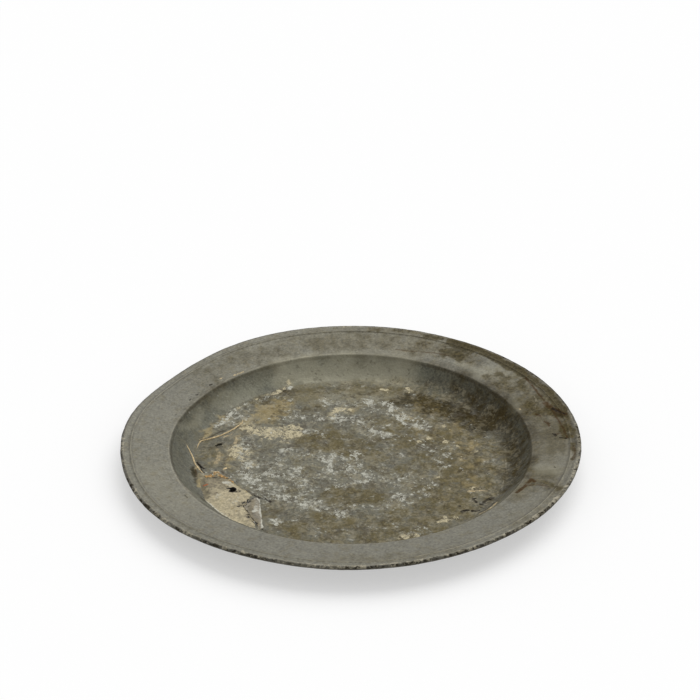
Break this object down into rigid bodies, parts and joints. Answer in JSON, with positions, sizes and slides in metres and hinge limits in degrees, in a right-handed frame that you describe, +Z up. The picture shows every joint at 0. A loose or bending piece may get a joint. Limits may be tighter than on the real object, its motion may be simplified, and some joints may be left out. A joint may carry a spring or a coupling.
{
  "type": "platter",
  "caption": "Round pewter platter with a broad flat reeded rim, a shallow well and an old putty repair on its floor; holds and serves food.",
  "frame": {"origin": "middle of the flat underside, on the surface that the platter rests on", "axes": "+Z up out of the well, -Y towards the front of the picture, +X to its right"},
  "size_m": [0.4256, 0.4256, 0.0263],
  "materials": {
    "pewter": "satin",
    "pale_putty": "matte",
    "grey_putty": "matte",
    "tan_putty": "matte"
  },
  "bodies": {
    "root": {"platter_body": "pewter", "repair_fill": "pale_putty", "repair_fill_end": "grey_putty", "back_crack_bead": "tan_putty", "side_crack_bead": "tan_putty"}
  },
  "joints": []
}
